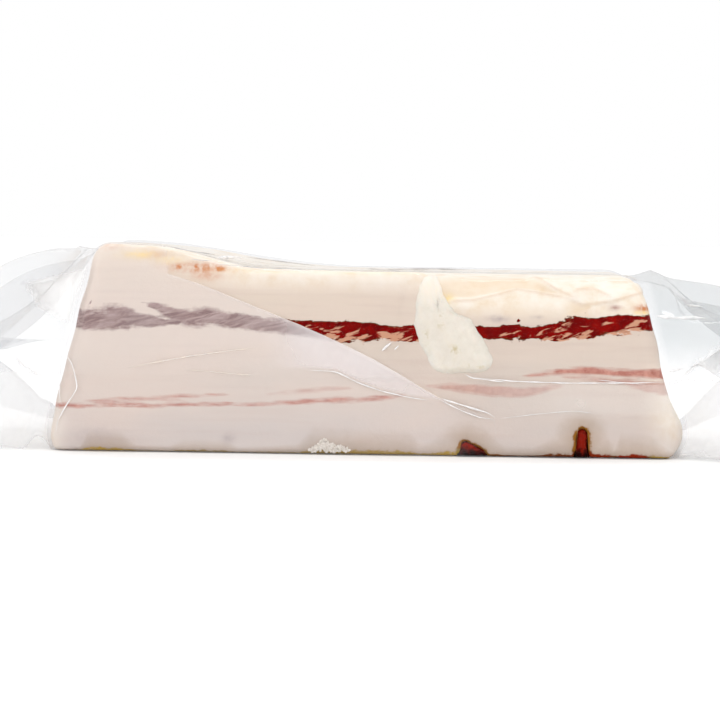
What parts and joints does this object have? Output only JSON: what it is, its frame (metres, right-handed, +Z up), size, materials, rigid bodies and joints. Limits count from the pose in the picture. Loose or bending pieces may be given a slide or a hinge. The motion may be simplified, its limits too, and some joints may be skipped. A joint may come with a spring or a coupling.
{
  "type": "vacuum-packed salted pork belly",
  "caption": "Oblong slab of salted pork belly lying on its rind, shrunk tight in a clear vacuum pouch with a flat seal at each end.",
  "frame": {"origin": "under the middle of the pouch, on the surface that it lies on", "axes": "+Z up, +X along the slab towards its right-hand end, -Y out of the long cut face that shows the lean streaks"},
  "size_m": [0.262, 0.105, 0.0567],
  "materials": {
    "pack": "clear pouch film, glossy, tight over pale cured fat"
  },
  "bodies": {
    "root": {"sealed_pack": "pack"}
  },
  "joints": []
}
